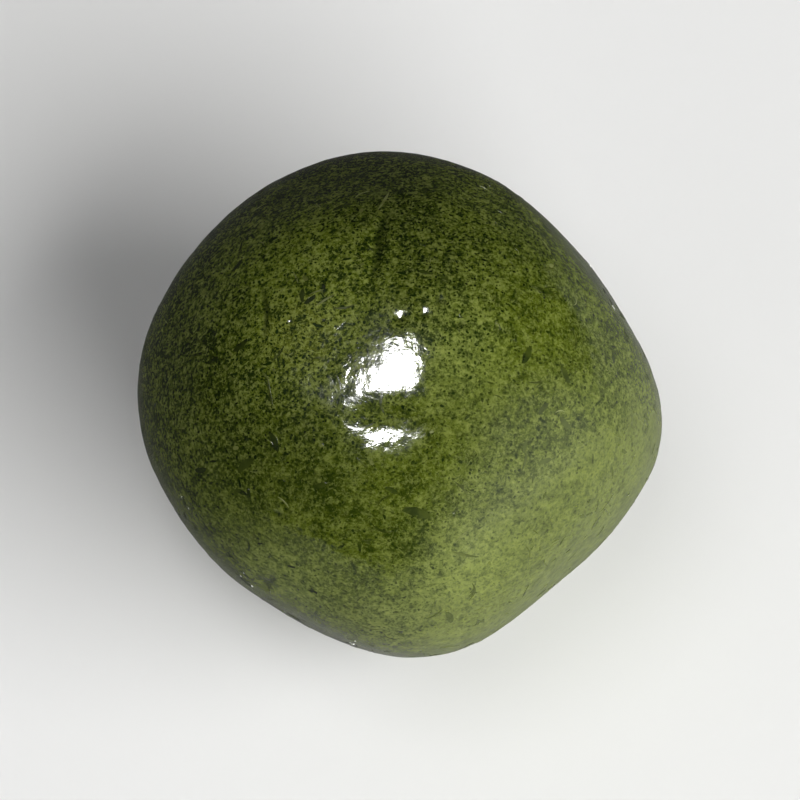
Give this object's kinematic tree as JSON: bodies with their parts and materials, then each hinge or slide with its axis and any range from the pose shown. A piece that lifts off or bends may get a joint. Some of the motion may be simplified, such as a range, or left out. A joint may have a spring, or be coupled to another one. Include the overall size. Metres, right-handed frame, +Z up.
{
  "type": "mochi rice cake",
  "caption": "Hand-rolled ball of dark green rice dough, softly flattened where the palms pressed it, with an oiled, leaf-flecked skin and a small flat foot.",
  "frame": {"origin": "on the ground, under the middle of the ball's bounding box", "axes": "+Z up, -Y to the front, +X to the right as seen from the front; the broadest flat faces the front right"},
  "size_m": [0.048, 0.0472, 0.042],
  "materials": {
    "oiled_green_dough": "dark olive-green rice dough with leaf flecks under a thin, glossy film of oil"
  },
  "bodies": {
    "root": {"mochi_ball": "oiled_green_dough"}
  },
  "joints": []
}
